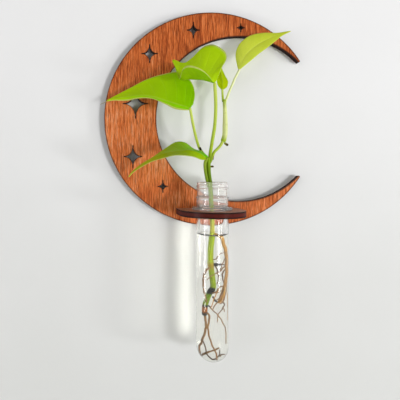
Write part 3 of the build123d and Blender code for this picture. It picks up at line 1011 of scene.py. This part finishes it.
@dataclass
class WaterTube:
    """Clear tube with a threaded neck, and the water in it, in millimetres. Heights are from the seat."""

    radius: float = 13.2
    bore: float = 10.1
    bottom: float = -113.0
    flange_radius: float = 16.5
    flange_top: float = 2.4
    neck_radius: float = 12.8
    bead_radius: float = 13.6
    bead: Span = (9.4, 11.0)
    thread_root: float = 12.45
    thread_rise: float = 0.55
    thread_pitch: float = 2.9
    thread_span: Span = (15.6, 21.4)
    thread_run_in: float = 0.35
    thread_half: float = 1.0
    thread_flank: float = 0.55
    mouth: float = 11.5
    rim: float = 23.3
    shoulder: float = -3.6
    water_level: float = -20.9
    meniscus: float = 1.8
    level_share: float = 0.72
    water_overlap: float = 0.15
    around: int = 128
    body: str = "tube"

    def _bowl(self, radius: float, steps: int) -> Profile:
        """Rings of the round bottom, from beside its middle out to the full radius."""
        turns = [math.pi / 2 * i / steps for i in range(1, steps + 1)]
        return [(radius * math.sin(turn), self.bottom - radius * math.cos(turn)) for turn in turns]

    @staticmethod
    def _straight(radius: float, start: float, end: float, count: int) -> Profile:
        """Rings of one radius, spaced evenly between two heights."""
        return [(radius, float(height)) for height in np.linspace(start, end, count)]

    def _outside(self) -> Profile:
        """Goes up the outside, from the bottom's middle to the rim.

        Returns:
            Radius and height of each ring.
        """
        wall, edge, top, rim = self.radius, self.flange_radius, self.flange_top, self.rim
        neck, bead, root = self.neck_radius, self.bead_radius, self.thread_root
        low, high = self.bead
        profile = self._bowl(wall, 24) + self._straight(wall, self.bottom + 8, -1.2, 14)
        profile += [(wall + 0.05, -0.6), (wall + 0.4, -0.12), (wall + 1.0, 0.0), (edge - 0.7, 0.0)]
        profile += [(edge - 0.2, 0.2), (edge, 0.7), (edge, top - 0.7), (edge - 0.2, top - 0.2)]
        profile += [(edge - 0.7, top), (neck + 1.1, top), (neck + 0.3, top + 0.25), (neck, top + 0.9)]
        profile += [(neck, 5.0), (neck, low - 0.6), (neck + 0.15, low - 0.15), (bead - 0.25, low)]
        profile += [(bead - 0.15, low + 0.15), (bead, low + 0.6), (bead, high - 0.6)]
        profile += [(bead - 0.2, high - 0.15), (bead - 0.4, high + 0.05), (root + 0.25, high + 0.25)]
        profile += [(root, high + 0.8)] + self._straight(root, high + 1.1, rim - 0.8, 66)
        profile += [(root - 0.08, rim - 0.4), (root - 0.3, rim - 0.12), (root - 0.6, rim)]
        return profile

    def _inside(self) -> Profile:
        """Goes down the inside, from the rim to the bottom's middle.

        Returns:
            Radius and height of each ring.
        """
        mouth, rim, top = self.mouth, self.rim, self.flange_top
        profile = [(mouth + 0.4, rim), (mouth + 0.12, rim - 0.12), (mouth + 0.02, rim - 0.35)]
        profile += [(mouth, rim - 0.5), (mouth, rim - 0.8)] + self._straight(mouth, rim - 4, top, 8)
        for share in np.linspace(0.1, 1.0, 8):
            ease = share * share * (3 - 2 * share)
            height = top + (self.shoulder - top) * float(share)
            profile.append((mouth + (self.bore - mouth) * float(ease), height))
        profile += self._straight(self.bore, self.shoulder - 6, self.bottom, 14)
        profile += self._bowl(self.bore, 20)[-2::-1]
        return profile

    def _thread(self, turn: float, height: float) -> float:
        """Works out how far the thread stands out at a place on the neck.

        Args:
            turn: Angle round the neck, in radians.
            height: Height above the seat, in millimetres.

        Returns:
            Rise over the thread's root, in millimetres.
        """
        low, high = self.thread_span
        nearest = round((height - low) / self.thread_pitch - turn / (2 * math.pi))
        centre = low + self.thread_pitch * (nearest + turn / (2 * math.pi))
        if not low <= centre <= high:
            return 0.0
        run_in = min(1.0, (centre - low) / self.thread_run_in, (high - centre) / self.thread_run_in)
        flank = max(0.0, min(1.0, (self.thread_half - abs(height - centre)) / self.thread_flank))
        return self.thread_rise * run_in * flank * flank * (3 - 2 * flank)

    def _turned(self, name: str, profile: Profile, thread: bool) -> bpy.types.Object:
        """Turns a profile about the tube's axis.

        Args:
            name: Name of the piece.
            profile: Radius and height of each ring.
            thread: Whether the neck's rings carry the thread.

        Returns:
            The closed mesh object.
        """
        corners = []
        for radius, height in profile:
            for i in range(self.around):
                turn = 2 * math.pi * i / self.around
                reach = radius
                if thread and radius == self.thread_root:
                    reach += self._thread(turn, height)
                corners.append((reach * math.cos(turn), reach * math.sin(turn), height))
        return Shape.piece(name, TUBE_SEAT + np.array(corners), Shape.rings(len(profile), self.around))

    def build(self) -> None:
        """Makes the tube and the water."""
        tube = self._turned("clear_tube", self._outside() + self._inside(), True)
        tube.data.materials.append(ClearPlastic().material("clear_plastic"))
        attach(tube, self.body)
        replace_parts(tube, "test_tube")
        LOG.info("tube with threaded neck")
        water = self._turned("water", self._water_profile(), False)
        water.data.materials.append(Water().material("water"))
        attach(water, self.body)
        LOG.info("water up to %.1f mm below the shelf's top", -self.water_level)

    def _water_profile(self) -> Profile:
        """Goes up the water's outside and in over its curved top.

        Returns:
            Radius and height of each ring.
        """
        reach = self.bore + self.water_overlap
        top = self.water_level + self.meniscus
        profile = self._bowl(reach, 19) + self._straight(reach, self.bottom + 2, top - 1, 10)
        profile += [(reach, top - 0.1), (reach, top - 0.01), (reach - 0.01, top)]
        for share in (0.97, 0.93, 0.88, 0.8, 0.7, 0.55, 0.35, 0.1):
            climb = max(0.0, (share - self.level_share) / (1 - self.level_share))
            profile.append((self.bore * share, self.water_level + self.meniscus * climb**2.2))
        return profile


@dataclass
class Cutting:
    """Plant cutting: stems, leaves and the roots in the water."""

    leaves: List[Leaf] = field(default_factory=list)
    strands: List[Strand] = field(default_factory=list)

    def plan(self) -> None:
        """Lists the leaves and strands with their routes and finishes."""
        self._plan_leaves()
        self._plan_stems()
        self._plan_scars()
        self._plan_roots()

    def _plan_leaves(self) -> None:
        """Lists the five leaves."""
        self.leaves.append(Leaf("large_left_leaf", [
            ((-17, 6.5, 87.5), (-20, 8, 83.3), (-20.5, 8, 82)),
            ((-15.2, 3.5, 97), (-24, 8, 84.8), (-26, 8.5, 82)),
            ((-18, -0.5, 108), (-31.5, 7.5, 87), (-33, 8, 83.3)),
            ((-28, -4, 116), (-40, 5.5, 90), (-41, 5.5, 87.8)),
            ((-41, -6.5, 114.7), (-50.5, 2.5, 94), (-50.5, 2, 92.4)),
            ((-54.5, -8.5, 110.8), (-61, -2, 96), (-60.5, -2.5, 93.6)),
            ((-68, -10, 104), (-72.5, -6.5, 95.5), (-71, -7, 92.5)),
            ((-80, -11, 98), (-82, -10, 95), (-81.5, -10, 93.2)),
            ((-87.6, -11.5, 94), (-88.4, -11.5, 93.3), (-88, -11.5, 92.7)),
        ], LeafSkin(
            # The wide pale near rim is partly the margin's own colour and partly painted highlight.
            rgb(140, 208, 0), rgb(192, 222, 6), rim=rgb(218, 212, 116), near_rim=0.66, near=rgb(142, 214, 0)
        )))
        self.leaves.append(Leaf("upper_curled_leaf", [
            ((1.5, 10, 106.5), (-1, 12, 103), (-2.5, 13, 103.5)),
            ((6.5, 6, 117.5), (-6.5, 14, 104), (-7, 18.5, 107)),
            ((12, 0, 126.5), (-12, 15, 105), (-12.5, 22.5, 110.5)),
            ((11.5, -4.5, 134), (-17.5, 14.5, 105.5), (-19, 24.5, 113)),
            ((3.5, -8, 140.5), (-22.5, 13, 106), (-25, 24, 114)),
            ((-5.5, -9.5, 139), (-26.5, 10.5, 106), (-28, 19.5, 112.5)),
            ((-14.5, -8.5, 130), (-29.5, 7, 109), (-29, 10, 107)),
            ((-22, -7.5, 125), (-30.5, 0, 118), (-30, 2, 116)),
            ((-30.5, -9, 128), (-32, -8.5, 127.5), (-32, -8, 126)),
        ], LeafSkin(
            rgb(194, 232, 14), rgb(188, 228, 10), glow=rgb(190, 215, 40), near_rim=0.88,
            # Painted shade on the near half, which faces down.
            near=rgb(132, 182, 2),
        )))
        self.leaves.append(Leaf("young_leaf", [
            ((11, -3.5, 101.5), (9.5, -3.5, 101), (8.5, -3.5, 101.5)),
            ((14, -5, 104), (10, -4, 104), (6.5, -5, 104.5)),
            ((15, -6, 108.5), (10, -5, 109), (5.5, -6, 108.5)),
            ((13.5, -7, 112.5), (9.5, -6.5, 114), (6, -7, 113)),
            ((12, -8, 116.5), (9.5, -8, 118.5), (7, -8, 117.5)),
            ((10, -9, 122), (9.5, -9, 123), (8.5, -9, 122)),
        ], LeafSkin(rgb(192, 214, 4), rgb(184, 208, 4), veins=4.0)))
        self.leaves.append(Leaf("lower_left_leaf", [
            ((-4.5, 4.5, 44.5), (-6, 6, 42.5), (-7.5, 7.5, 41.5)),
            ((-9, 1.5, 48.5), (-12, 8.5, 46.5), (-11.5, 10.5, 41.5)),
            ((-15, -1.5, 51), (-19.5, 10, 49), (-18.5, 15.5, 43.5)),
            ((-22, -4, 56.5), (-27, 10, 49), (-27, 18.5, 44.5)),
            ((-29.5, -6, 57), (-35.5, 8.5, 48), (-35, 18, 44.5)),
            ((-38.5, -8, 51.5), (-43.5, 6, 46), (-43, 16, 42.5)),
            ((-48.5, -9, 44.5), (-51.5, 2, 42.3), (-51, 9, 40.2)),
            ((-58, -10, 38.8), (-59.5, -3, 37), (-59, 3, 36)),
            ((-65.7, -11, 32.7), (-65.8, -8, 31.9), (-65.3, -5, 31.6)),
            ((-69.2, -11.5, 28), (-69.5, -11, 27.4), (-69, -10.5, 27.2)),
        ], LeafSkin(
            # Painted shade on the near half, which faces down.
            rgb(112, 206, 0), rgb(208, 206, 44), rib_share=0.4, near=rgb(160, 196, 0)
        ), puff=0.03))
        self.leaves.append(Leaf("upper_right_leaf", [
            ((24, -7.5, 120), (25, -7, 118.5), (26, -6.5, 119.5)),
            ((22.5, -8.5, 128.6), (26.5, -6, 124.6), (29.5, -5, 122.3)),
            ((23, -9.5, 135.4), (30, -6.5, 130.8), (35, -4.5, 126.8)),
            ((27, -10.5, 143), (36, -7, 136.8), (41.5, -5, 132.3)),
            ((35.5, -11.5, 149.4), (43.5, -8.5, 142.3), (49, -6, 137.8)),
            ((47, -12, 152), (53, -9.5, 147), (56.5, -8, 143.9)),
            ((59, -12, 152), (61, -10.5, 150.6), (63, -9.5, 149)),
            ((70.4, -12, 153.7), (71, -12, 153.5), (70.8, -12, 153.1)),
        ], LeafSkin(rgb(224, 236, 90), rgb(208, 222, 48), rib=rgb(230, 238, 130), glow=rgb(215, 228, 80))))

    def _plan_stems(self) -> None:
        """Lists the stems and leaf stalks."""
        pale, lime, olive = rgb(200, 214, 100), rgb(164, 190, 50), rgb(104, 132, 8)
        black = rgb(3, 2, 2)
        main = StemSkin((
            (0.0, rgb(134, 166, 20)), (0.12, rgb(92, 122, 2)), (0.24, rgb(108, 132, 12)),
            (0.4, rgb(164, 160, 70)), (0.428, rgb(120, 140, 0)), (0.56, rgb(132, 146, 0)),
            (0.575, rgb(140, 114, 20)), (0.595, rgb(132, 114, 16)), (0.61, rgb(116, 134, 0)),
            (0.74, rgb(112, 130, 0)), (0.752, black), (0.83, black), (0.842, rgb(98, 124, 0)),
            (0.912, rgb(104, 122, 2)), (0.922, black), (0.932, black), (0.942, rgb(140, 84, 24)),
            (0.975, rgb(120, 68, 20)), (0.988, black),
        ))
        nodes = [(0.42, 0.12, 0.02), (0.575, 0.16, 0.015), (0.79, 0.2, 0.025)]
        self.strands.append(Strand("main_stem", [
            (-4, 3, 42.8), (-3.5, 2, 31.8), (-2, 1.5, 20.3), (-1, 0.5, 6.8), (0, 0, -8.2),
            (0, 0, -19.2), (-1, 0, -33.2), (-0.75, -0.5, -45.7), (0.5, -0.5, -58.7), (0.5, -0.5, -64.2),
            (-1.5, -1, -69.2), (-4, -1, -78.7), (-4.5, -1, -86.7),
        ], 3.8, main, "stem", 0.9, nodes, around=20))
        green = StemSkin(((0.0, olive), (0.25, lime), (1.0, pale)))
        faded = StemSkin(((0.0, rgb(228, 234, 170)), (1.0, rgb(234, 238, 192))))
        self.strands.append(Strand("side_stem", [
            (-3.5, 2.6, 38), (-1, 2, 42.5), (1, 2, 47.8), (4, 1, 50.8), (7.5, -1, 54.3), (10, -2, 58.8),
        ], 2.4, green, "stem"))
        sheath = StemSkin(((0.0, lime), (0.2, rgb(226, 232, 166)), (0.8, rgb(226, 232, 160)), (1.0, lime)))
        self.strands.append(Strand("shoot_sheath", [
            (10, -2, 58), (11.5, -3, 63.8), (12, -4, 72.3), (12, -4.5, 82.8), (11.5, -5, 92.3),
        ], 4.4, sheath, "stem", 0.62, [(0.5, 0.16, 0.3)], around=18))
        self.strands.append(Strand("large_left_stalk", [
            (-4, 1.5, 40.8), (-5, -1.5, 44.5), (-8, -3, 48.8), (-11, -1.8, 53.5), (-16, 4.5, 66.3),
            (-20, 7.8, 83.4),
        ], 2.3, green, "stem", 0.95))
        self.strands.append(Strand("upper_curled_stalk", [
            (-3, 3, 40.8), (-2.3, 3.5, 48), (-1, 5, 58.3), (0.4, 7, 70.3), (0.6, 9, 86.3),
            (-1, 12, 102.8),
        ], 2.8, green, "stem", 0.95))
        self.strands.append(Strand("young_stalk", [
            (10.5, -5, 91.5), (10, -4.5, 96.3), (9.5, -3.5, 101.3),
        ], 1.8, green, "stem"))
        self.strands.append(Strand("lower_left_stalk", [
            (-2.5, 1.8, 18.5), (-5, 4, 23.3), (-7, 5, 33.3), (-7.5, 6.5, 39), (-6, 6, 42.7),
        ], 2.4, StemSkin(((0.0, olive), (1.0, rgb(150, 172, 50)))), "stem"))
        self.strands.append(Strand("upper_right_stalk", [
            (12.2, -5, 90.5), (16.4, -6, 100.8), (18.6, -6, 105.8), (20.8, -6.5, 110.8),
            (25, -7, 118.8),
        ], 2.0, faded, "stem"))

    def _plan_scars(self) -> None:
        """Lists the leaf scar, the dry husk, the nubs and the thread at the large leaf's tip."""
        bark = StemSkin(((0.0, rgb(40, 32, 12)), (1.0, rgb(26, 20, 8))))
        husk = StemSkin(((0.0, rgb(140, 104, 52)), (1.0, rgb(104, 72, 34))))
        bud = StemSkin(((0.0, rgb(140, 140, 50)), (0.4, rgb(88, 76, 26)), (1.0, rgb(60, 48, 18))))
        thread = StemSkin(((0.0, rgb(184, 164, 92)), (1.0, rgb(176, 158, 118))))
        for name, thickness, finish, end_share, route in (
            ("stalk_scar", 1.9, bark, 0.8, [(-9.2, -1.6, 50.4), (-9.6, -1.2, 51.2), (-10, -0.8, 52)]),
            ("stem_nub", 1.6, bud, 1.0, [(-2.4, 2.6, 36), (-1, 2.8, 36.2), (0, 3, 36.1)]),
            ("shoot_nub", 1.9, bud, 1.1, [(11.4, -2.4, 55.8), (12.6, -2.6, 55), (13.5, -2.6, 54.4)]),
            ("dry_husk", 0.7, husk, 0.6, [(1, 2.5, 48.2), (0.6, 2.8, 44.9), (0, 3.2, 41.6)]),
            ("leaf_thread", 0.5, thread, 0.5, [
                (-87.4, -11.4, 93.2), (-90.5, -11.3, 91.6), (-94, -11.2, 90),
            ]),
        ):
            scar = Strand(name, route, thickness, finish, "stem", end_share, around=9, replaces=False)
            self.strands.append(scar)

    def _root(
        self, name: str, thickness: float, finish: RootSkin, route: Sequence[Point], own: bool = True
    ) -> None:
        """Adds one root, which stands for a node of its own or is small trim."""
        self.strands.append(Strand(name, route, thickness, finish, "root", 0.7, (), 0.14, 9, own))

    def _plan_roots(self) -> None:
        """Lists the roots in the tube."""
        tan = RootSkin(rgb(160, 120, 44), rgb(174, 122, 46), rgb(112, 76, 26))
        brown = RootSkin(rgb(120, 84, 30), rgb(126, 90, 36), rgb(66, 42, 16))
        dark = RootSkin(rgb(84, 60, 32), rgb(108, 78, 44), rgb(48, 32, 18))
        self._root("right_main_root", 2.5, tan, [
            (0.5, 0, -19.2), (5.5, 0.5, -22.2), (6.5, 1, -26.7), (8, 1, -33.2), (8.6, 0.5, -43.2),
            (8.5, -0.5, -54.2), (7.5, -1, -62.7), (6, -1, -69.2), (4, -0.5, -76.2),
        ])
        self._root("upper_rootlet", 0.8, brown, [
            (0, 1, -40.7), (2, 2.5, -39.7), (3.5, 3, -36.7), (5, 3, -35.2), (7, 3.5, -34.7),
        ])
        self._root("left_loop_root", 1.6, brown, [
            (-1, -0.5, -47.2), (-4, 1.5, -49.2), (-5.5, 2, -51.7), (-6.4, 2, -56.2), (-6.5, 2, -61.2),
            (-6, 2, -66.7), (-5, 2.5, -71.7), (-4.5, 3, -75.2),
        ])
        self._root("crossing_rootlet", 1.0, brown, [
            (8.4, 0.4, -46.2), (6, 3, -47.2), (4.5, 3.5, -49.7), (2, 4, -51.2), (-1, 4.3, -53.2),
            (-2.5, 4.5, -54.2), (-4.5, 4.5, -56.7),
        ])
        self._root("inner_rootlet", 0.9, dark, [
            (0.6, -0.5, -45.2), (3, -2.5, -47.7), (4, -3.5, -52.7), (4.5, -3.5, -56.2),
            (3.5, -3, -61.7),
        ])
        self._root("forked_rootlet", 0.9, brown, [
            (8.5, 0, -47.7), (7, -3, -51.2), (6.5, -3.5, -54.2), (7, -4, -58.7), (7.5, -4, -61.7),
        ])
        self._root("middle_rootlet", 1.2, brown, [
            (-0.8, -0.8, -69.2), (2, 2, -67), (3.5, 3, -63.7), (5, 3.2, -62.2), (7, 3, -63.2),
        ])
        self._root("right_long_root", 0.9, brown, [
            (-4, -1, -78.7), (-2.2, 1.2, -79.2), (-1, 2, -81.2), (2.5, 2, -85.2), (5, 1.5, -89.7),
            (7.5, 1, -96.7), (8, 1, -102.2), (8, 0.5, -110.2),
        ])
        self._root("left_long_root", 1.6, brown, [
            (-4.4, -1, -85.7), (-4, -0.5, -91.7), (-3.5, -1, -96.2), (-3.6, -2, -100.2),
            (-5.5, -2.5, -109.7), (-7.2, -2.5, -114.2), (-7, -2.5, -117.7), (-6, -2.5, -119.9),
            (-3.5, -3, -119.2), (2, -3.5, -116.7), (4.5, -3.5, -114.7),
        ])
        self._root("centre_long_root", 1.4, brown, [
            (-4.2, -0.5, -84.2), (-2.6, 2.4, -86.2), (-2.9, 3, -91.2), (-3.7, 3.4, -97.2),
            (-2.4, 3.5, -105.2), (-0.2, 3, -112.2), (1.8, 2.5, -116.9), (2.4, 1.5, -121.2),
        ])
        self._root("bottom_loop_root", 0.9, dark, [
            (-5.2, -2.2, -108.7), (-4.2, 0, -113.7), (-3.2, -0.5, -118.5), (0.5, -0.5, -121.5),
            (4, -0.5, -119.4), (4.5, -0.5, -117), (4.6, -1, -115.4),
        ])
        black = RootSkin(rgb(8, 5, 4), rgb(12, 8, 6), rgb(4, 3, 2))
        for name, thickness, finish, route in (
            ("black_stub", 2.9, black, [(1.8, 1.2, -44.6), (3.2, 1.6, -44.8), (4.6, 1.6, -44.5)]),
            ("stub_hair", 0.9, dark, [
                (4.4, 1.6, -44.6), (6.2, 1.3, -44.6), (7.7, 0.9, -45.6), (8.3, 0.6, -47.2),
            ]),
            ("upper_speck", 1.5, black, [(0, 1.9, -71.2), (0.4, 2.2, -72), (0.9, 2.3, -72.6)]),
            ("lower_speck", 1.6, black, [(0.9, 2, -73.6), (1.5, 2.3, -74.4), (2.4, 2.3, -75)]),
            ("collar_speck", 1.3, black, [(-3, 0.6, -78.9), (-2.2, 1.4, -79), (-1.6, 1.8, -79.6)]),
            ("bridge_hair", 0.7, brown, [(1.8, 2.2, -68.3), (3.6, 2.6, -67), (5.2, 2.4, -65.8)]),
            ("falling_hair", 0.8, tan, [
                (3.6, 3, -64), (2.2, 3.2, -67.4), (0.4, 3.2, -72.5), (-1.2, 2.8, -79.5),
            ]),
            ("clump_hair", 1.0, brown, [
                (4, -0.5, -76), (2.6, 0.5, -76.6), (1, 1.4, -79), (-0.2, 1.8, -81.6),
            ]),
            ("loop_hair", 0.9, dark, [
                (4.6, -0.4, -75.4), (6.6, 0.6, -76), (7.2, 1, -78.2), (6.2, 1.2, -80), (5.6, 1.2, -82),
                (3.8, 1.4, -84.6), (3, 1.6, -87),
            ]),
            ("clump_side", 1.7, tan, [
                (7.3, 0.5, -63.5), (7, 0.9, -68), (6, 1, -72.5), (4.6, 0.8, -75.8),
            ]),
            ("clump_back", 1.1, brown, [
                (7.7, 0, -66), (7.4, 0.6, -71), (6.2, 1.2, -75.5), (4.4, 1.4, -77),
            ]),
            ("clump_web", 0.8, dark, [
                (6.8, 1.6, -65), (5, 2.4, -69.5), (3.4, 2.4, -72.6), (1.6, 2.2, -74),
            ]),
            ("side_hair", 0.6, tan, [(8.4, 0.6, -61), (8.9, 1, -70), (9.1, 0.8, -80), (9, 0.5, -91)]),
            ("upper_web", 0.8, brown, [(8, 1, -39), (6.6, 2.4, -42), (5, 3, -46.4), (4.2, 3, -50)]),
            ("first_spur", 0.7, brown, [(3, 1.6, -86.4), (2.9, 1.8, -89), (2.7, 1.8, -92)]),
            ("second_spur", 0.7, brown, [(6.3, 1.2, -80), (6.9, 1.4, -81.8), (7.2, 1.4, -83.6)]),
            ("bottom_hair", 0.8, brown, [(4.5, -0.5, -119.6), (5.8, 0.5, -118.3), (7.4, 0.8, -118.2)]),
        ):
            self._root(name, thickness, finish, route, False)

    def build(self) -> None:
        """Makes every leaf and strand."""
        for leaf in self.leaves:
            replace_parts(leaf.build(), leaf.name)
            LOG.info("leaf %s", leaf.name)
        for strand in self.strands:
            obj = strand.build()
            # Water gathers light behind the stem and roots, so the tube's shadow stays bright there.
            obj.visible_shadow = strand.slot != "root" and strand.name != "main_stem"
            if strand.replaces:
                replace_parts(obj, strand.name)
            LOG.info("strand %s", strand.name)


@dataclass(frozen=True)
class Lamp:
    """Soft lamp that faces the plaque, with its place and size in metres.

    A mirrored lamp shows in gloss. A lamp that lights reaches matt faces.
    """

    name: str
    at: Point
    size: Span
    power: float
    mirrored: bool = False
    lights: bool = True

    def build(self) -> None:
        """Makes the lamp and turns it to the frame's origin."""
        data = bpy.data.lights.new(self.name, "AREA")
        data.shape = "RECTANGLE"
        data.size, data.size_y = self.size
        data.energy = self.power
        lamp = bpy.data.objects.new(self.name, data)
        lamp.visible_glossy = self.mirrored
        lamp.visible_diffuse = self.lights
        lamp.visible_transmission = not self.mirrored
        lamp.location = self.at
        lamp.rotation_euler = (-Vector(self.at)).to_track_quat("-Z", "Y").to_euler()
        bpy.context.scene.collection.objects.link(lamp)


@dataclass
class Studio:
    """Wall, floor, lamps, sky and camera, in metres, with the lens and its sensor in millimetres."""

    wall_size: float = 4.0
    wall_y: float = 0.0002
    floor_z: float = -1.1
    camera_at: Point = (-0.0889, -0.361, -0.0495)
    lens: float = 36.18
    shift: Span = (0.225, -0.0625)
    sensor: float = 36.0
    clip_start: float = 0.01
    lamps: Tuple[Lamp, ...] = (
        Lamp("key", (1.72, -2.24, -0.5), (0.5, 0.5), 30.5),
        Lamp("window", (2.2, -0.95, -0.4), (0.3, 0.3), 15.0),
        Lamp("left_front", (-2.2, -2.05, 0.1), (1.2, 2.0), 15.4),
        Lamp("right_front", (2.2, -2.05, 0.1), (1.2, 2.0), 11.8),
        Lamp("fill", (-1.67, -0.7, -0.38), (0.16, 0.5), 4.5, mirrored=True),
        Lamp("glint", (1.07, -1.71, -0.27), (0.14, 0.34), 1.2, mirrored=True),
        Lamp("left_strip", (-1.7, -0.75, -0.3), (0.36, 0.9), 11.0, mirrored=True, lights=False),
        Lamp("right_strip", (1.15, -1.7, -0.25), (0.36, 0.9), 11.0, mirrored=True, lights=False),
    )
    sky_tint: Colour = rgb(255, 253, 249)
    sky_low: float = 0.12
    sky_high: float = 0.34
    seen_tint: Colour = rgb(240, 240, 237)
    seen_strength: float = 0.92

    def build(self) -> None:
        """Makes the wall, floor, lamps, sky and camera."""
        paint = WallPaint().material("wall_paint")
        half = self.wall_size / 2
        square = [(-half, -half), (half, -half), (half, half), (-half, half)]
        self._sheet("wall", [(x, self.wall_y, z) for x, z in square], paint)
        self._sheet("floor", [(x, y, self.floor_z) for x, y in square], paint)
        for lamp in self.lamps:
            lamp.build()
        self._sky()
        self._camera()
        LOG.info("studio")

    @staticmethod
    def _sheet(name: str, corners: Sequence[Point], paint: bpy.types.Material) -> None:
        """Makes one flat stage piece.

        Args:
            name: Name of the piece.
            corners: Its four corners, in order.
            paint: Its material.
        """
        mesh = bpy.data.meshes.new(name)
        mesh.from_pydata(corners, [], [(0, 1, 2, 3)])
        mesh.materials.append(paint)
        sheet = bpy.data.objects.new(name, mesh)
        bpy.context.scene.collection.objects.link(sheet)

    def _sky(self) -> None:
        """Soft light, more from above, and pale where a camera, gloss or clear plastic looks into it."""
        world = bpy.data.worlds.new("sky")
        bpy.context.scene.world = world
        world.use_nodes = True
        graph = Graph(world.node_tree)
        kinds = ("Camera", "Glossy", "Transmission")
        rays = [graph.ray(f"Is {kind} Ray") for kind in kinds]
        seen = rays[0].most(rays[1]).most(rays[2])
        rise = graph.axis(graph.node("ShaderNodeTexCoord", {}, {}, "Generated"), "Z")
        low = graph.node("ShaderNodeBackground", {}, {0: self.sky_tint, 1: self.sky_low})
        high = graph.node("ShaderNodeBackground", {}, {0: self.sky_tint, 1: self.sky_high})
        light = graph.blended(rise.ease(-1.0, 1.0), low, high)
        shown = graph.node("ShaderNodeBackground", {}, {0: self.seen_tint, 1: self.seen_strength})
        graph.output("ShaderNodeOutputWorld", graph.blended(seen, light, shown))

    def _camera(self) -> None:
        """Makes the camera, square on to the wall."""
        data = bpy.data.cameras.new("camera")
        data.sensor_width = self.sensor
        data.lens = self.lens
        data.shift_x, data.shift_y = self.shift
        data.clip_start = self.clip_start
        camera = bpy.data.objects.new("camera", data)
        camera.location = self.camera_at
        camera.rotation_euler = (math.pi / 2, 0.0, 0.0)
        bpy.context.scene.collection.objects.link(camera)
        bpy.context.scene.camera = camera


def main() -> None:
    """Builds the plaque, its tube, its cutting and the studio in order."""
    logging.basicConfig(level=logging.INFO, format="%(name)s: %(message)s")
    bpy.context.scene.view_settings.view_transform = "Standard"
    stand = MoonStand()
    stand.build()
    stand.dress()
    WaterTube().build()
    cutting = Cutting()
    cutting.plan()
    cutting.build()
    Studio().build()
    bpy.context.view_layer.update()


if __name__ == "__main__":
    main()
